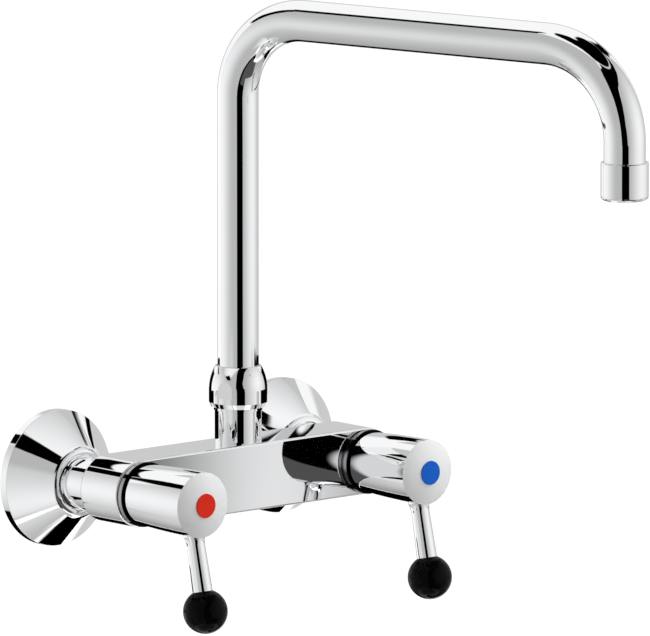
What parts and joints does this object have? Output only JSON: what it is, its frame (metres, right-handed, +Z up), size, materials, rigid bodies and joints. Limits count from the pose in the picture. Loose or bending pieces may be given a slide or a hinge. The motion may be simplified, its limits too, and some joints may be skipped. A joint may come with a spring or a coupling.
{
  "type": "wall-mounted two-handle faucet",
  "caption": "Wall-mounted chrome mixer tap: round-ended body bar between bell-shaped roses, lever handles with black balls, and a high swivelling swan-neck spout.",
  "frame": {"origin": "on the finished wall, midway between the two inlets, at the height of their axes", "axes": "+X to the cold side (right for the user), +Y into the wall, +Z up"},
  "size_m": [0.219, 0.3063, 0.3085],
  "materials": {
    "chrome": "polished chrome plating",
    "brass": "machined brass",
    "satin_cap": "satin pale grey",
    "hot_red": "glossy red",
    "cold_blue": "glossy blue",
    "black_plastic": "glossy black",
    "rubber": "moulded rubber",
    "white_plastic": "moulded white plastic",
    "ceramic": "lapped white ceramic",
    "steel": "turned steel"
  },
  "bodies": {
    "fixture": {"body_casting": "chrome", "spout_nut": "chrome", "lower_slip_ring": "white_plastic", "upper_slip_ring": "white_plastic", "hot_wall_rose": "chrome", "hot_inlet_connector": "brass", "hot_inlet_gasket": "rubber", "hot_union_nut": "chrome", "hot_cartridge_body": "brass", "hot_seat_seal": "rubber", "hot_fixed_disc": "ceramic", "hot_trim_ring": "chrome", "cold_wall_rose": "chrome", "cold_inlet_connector": "brass", "cold_inlet_gasket": "rubber", "cold_union_nut": "chrome", "cold_cartridge_body": "brass", "cold_seat_seal": "rubber", "cold_fixed_disc": "ceramic", "cold_trim_ring": "chrome"},
    "hot_handle_assembly": {"hot_handle": "chrome", "hot_spindle": "brass", "hot_turning_disc": "ceramic", "hot_spindle_o_ring": "rubber", "hot_handle_screw": "steel", "hot_end_cap": "satin_cap", "hot_index_dot": "hot_red", "hot_lever_rod": "chrome", "hot_ball_knob": "black_plastic"},
    "cold_handle_assembly": {"cold_handle": "chrome", "cold_spindle": "brass", "cold_turning_disc": "ceramic", "cold_spindle_o_ring": "rubber", "cold_handle_screw": "steel", "cold_end_cap": "satin_cap", "cold_index_dot": "cold_blue", "cold_lever_rod": "chrome", "cold_ball_knob": "black_plastic"},
    "spout": {"spout_tube": "chrome", "spout_spigot": "brass", "spout_o_rings": "rubber", "aerator_washer": "rubber", "flow_insert": "white_plastic", "aerator_housing": "chrome"}
  },
  "joints": [
    {"name": "hot_handle_turn", "type": "hinge", "parent": "fixture", "child": "hot_handle_assembly", "pos_m": [-0.075, -0.09, 0], "axis": [0, 1, 0], "range_deg": [0, 90]},
    {"name": "cold_handle_turn", "type": "hinge", "parent": "fixture", "child": "cold_handle_assembly", "pos_m": [0.075, -0.09, 0], "axis": [0, -1, 0], "range_deg": [0, 90]},
    {"name": "spout_swivel", "type": "hinge", "parent": "fixture", "child": "spout", "pos_m": [0, -0.0562, 0], "axis": [0, 0, 1], "range_deg": [-104.5, 75.5]}
  ]
}
